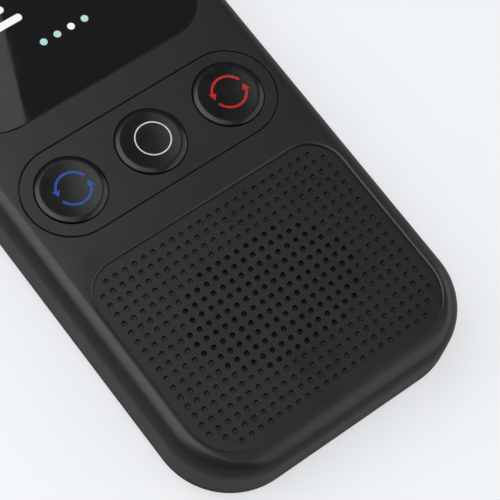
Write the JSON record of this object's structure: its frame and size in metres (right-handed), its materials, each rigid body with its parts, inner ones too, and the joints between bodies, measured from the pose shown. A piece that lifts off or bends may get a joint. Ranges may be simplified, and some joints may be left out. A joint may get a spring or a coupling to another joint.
{
  "type": "handheld translator",
  "caption": "Flat bar-shaped handheld translator with a touch screen, a row of round keys and a perforated speaker grille.",
  "frame": {"origin": "centre of the flat back the translator lies on", "axes": "+Z out of the face, +Y towards the screen end, +X to the right when the face is looked at"},
  "size_m": [0.0547, 0.138, 0.013],
  "materials": {
    "case": "fine matt moulded plastic",
    "cover": "fine matt moulded plastic",
    "grille": "satin perforated plate",
    "key": "satin turned cap",
    "glass": "polished black cover glass",
    "panel": "display panel",
    "metal": "pressed steel",
    "brass": "gold-faced flexible strip",
    "black_part": "black moulded part",
    "foam": "black foam and rubber",
    "board": "green lacquered board",
    "ivory": "ivory moulded part",
    "foil": "foil pouch",
    "lens": "coated glass",
    "clear": "clear moulded rod",
    "lamp": "yellow phosphor"
  },
  "bodies": {
    "case": {"front_housing": "case", "rear_cover": "cover", "speaker_grille": "grille", "speaker_mesh": "foam", "speaker_gasket": "foam", "speaker_frame": "metal", "speaker_diaphragm": "black_part", "speaker_magnet": "metal", "speaker_bracket": "metal", "speaker_ribbon": "brass", "key_bezel": "case", "left_switch": "black_part", "middle_switch": "black_part", "right_switch": "black_part", "cover_glass": "glass", "screen_adhesive": "foam", "display_panel": "panel", "display_tray": "metal", "display_ribbon": "brass", "display_connector": "ivory", "main_board": "board", "processor_shield": "metal", "radio_shield": "metal", "antenna": "brass", "battery": "foil", "battery_pad": "foam", "battery_ribbon": "brass", "battery_connector": "ivory", "usb_shell": "metal", "usb_tongue": "black_part", "left_microphone": "metal", "right_microphone": "metal", "left_mic_boot": "foam", "right_mic_boot": "foam", "camera_module": "black_part", "camera_lens": "lens", "camera_ring": "metal", "camera_window": "lens", "lamp_led": "lamp", "lamp_lens": "clear", "power_switch": "black_part", "volume_up_switch": "black_part", "volume_down_switch": "black_part", "inner_screws": "metal"},
    "left_button_body": {"left_button": "key", "left_plunger": "ivory"},
    "middle_button_body": {"middle_button": "key", "middle_plunger": "ivory"},
    "right_button_body": {"right_button": "key", "right_plunger": "ivory"},
    "power_button_body": {"power_button": "key", "power_plunger": "ivory"},
    "volume_rocker_body": {"volume_rocker": "key", "volume_up_plunger": "ivory", "volume_down_plunger": "ivory"}
  },
  "joints": [
    {"name": "left_button_press", "type": "slide", "parent": "case", "child": "left_button_body", "axis": [0, 0, -1], "range_m": [0, 0.0004], "stiffness_N_per_m": 500},
    {"name": "middle_button_press", "type": "slide", "parent": "case", "child": "middle_button_body", "axis": [0, 0, -1], "range_m": [0, 0.0004], "stiffness_N_per_m": 500},
    {"name": "right_button_press", "type": "slide", "parent": "case", "child": "right_button_body", "axis": [0, 0, -1], "range_m": [0, 0.0004], "stiffness_N_per_m": 500},
    {"name": "power_button_press", "type": "slide", "parent": "case", "child": "power_button_body", "axis": [-1, 0, 0], "range_m": [0, 0.0003], "stiffness_N_per_m": 500},
    {"name": "volume_rocker_tip", "type": "hinge", "parent": "case", "child": "volume_rocker_body", "pos_m": [-0.0246, 0.031, 0.0063], "axis": [0, 0, 1], "range_deg": [-1.2, 1.2], "stiffness_Nm_per_rad": 0.05}
  ]
}
